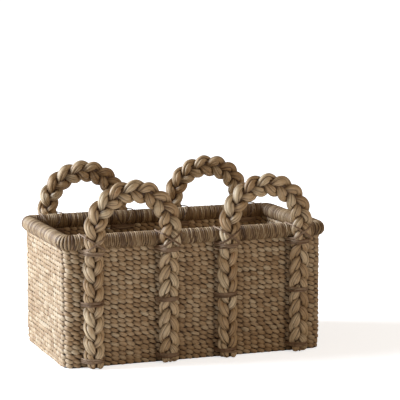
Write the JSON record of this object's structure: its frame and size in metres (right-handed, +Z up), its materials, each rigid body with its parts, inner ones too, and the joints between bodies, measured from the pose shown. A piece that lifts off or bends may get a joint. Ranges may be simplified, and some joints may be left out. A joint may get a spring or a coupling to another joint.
{
  "type": "woven storage basket",
  "caption": "Low rectangular twined basket with a thick wrapped rim and braided strap handles that arch above both long sides.",
  "frame": {"origin": "on the ground under the middle of the basket", "axes": "+X along the length, +Y towards the back, +Z up"},
  "size_m": [0.7378, 0.4626, 0.4771],
  "materials": {
    "woven_stem": "matte twined plant stem",
    "braid": "matte braided plant stem",
    "rim_strip": "matte wound leaf strip",
    "rim_pole": "bare cane",
    "stake_cane": "bare cane",
    "twine": "matte twisted twine",
    "frame_wire": "satin painted wire"
  },
  "bodies": {
    "basket": {"back_leg_1": "braid", "back_leg_2": "braid", "back_leg_3": "braid", "back_leg_4": "braid", "floor_cross_bars": "frame_wire", "floor_long_bars": "frame_wire", "floor_weave": "woven_stem", "foot_hoop": "frame_wire", "foot_lashings": "twine", "front_leg_1": "braid", "front_leg_2": "braid", "front_leg_3": "braid", "front_leg_4": "braid", "middle_lashings": "twine", "rim_lashings": "twine", "rim_pole": "rim_pole", "rim_wrap": "rim_strip", "wall_row_01": "woven_stem", "wall_row_02": "woven_stem", "wall_row_03": "woven_stem", "wall_row_04": "woven_stem", "wall_row_05": "woven_stem", "wall_row_06": "woven_stem", "wall_row_07": "woven_stem", "wall_row_08": "woven_stem", "wall_row_09": "woven_stem", "wall_row_10": "woven_stem", "wall_row_11": "woven_stem", "wall_row_12": "woven_stem", "wall_row_13": "woven_stem", "wall_row_14": "woven_stem", "wall_row_15": "woven_stem", "wall_row_16": "woven_stem", "wall_row_17": "woven_stem", "wall_row_18": "woven_stem", "wall_row_19": "woven_stem", "wall_row_20": "woven_stem", "wall_row_21": "woven_stem", "wall_row_22": "woven_stem", "wall_row_23": "woven_stem", "wall_row_24": "woven_stem", "wall_row_25": "woven_stem", "wall_stakes": "stake_cane"},
    "back_left_handle": {"back_left_handle": "braid"},
    "back_right_handle": {"back_right_handle": "braid"},
    "front_left_handle": {"front_left_handle": "braid"},
    "front_right_handle": {"front_right_handle": "braid"}
  },
  "joints": [
    {"name": "back_left_handle_flex", "type": "hinge", "parent": "basket", "child": "back_left_handle", "pos_m": [0, 0.2173, 0.3429], "axis": [1, 0, 0], "range_deg": [-20, 35], "stiffness_Nm_per_rad": 1.2},
    {"name": "back_right_handle_flex", "type": "hinge", "parent": "basket", "child": "back_right_handle", "pos_m": [0, 0.2173, 0.3429], "axis": [1, 0, 0], "range_deg": [-20, 35], "stiffness_Nm_per_rad": 1.2},
    {"name": "front_left_handle_flex", "type": "hinge", "parent": "basket", "child": "front_left_handle", "pos_m": [0, -0.2173, 0.3429], "axis": [-1, 0, 0], "range_deg": [-20, 35], "stiffness_Nm_per_rad": 1.2},
    {"name": "front_right_handle_flex", "type": "hinge", "parent": "basket", "child": "front_right_handle", "pos_m": [0, -0.2173, 0.3429], "axis": [-1, 0, 0], "range_deg": [-20, 35], "stiffness_Nm_per_rad": 1.2}
  ]
}
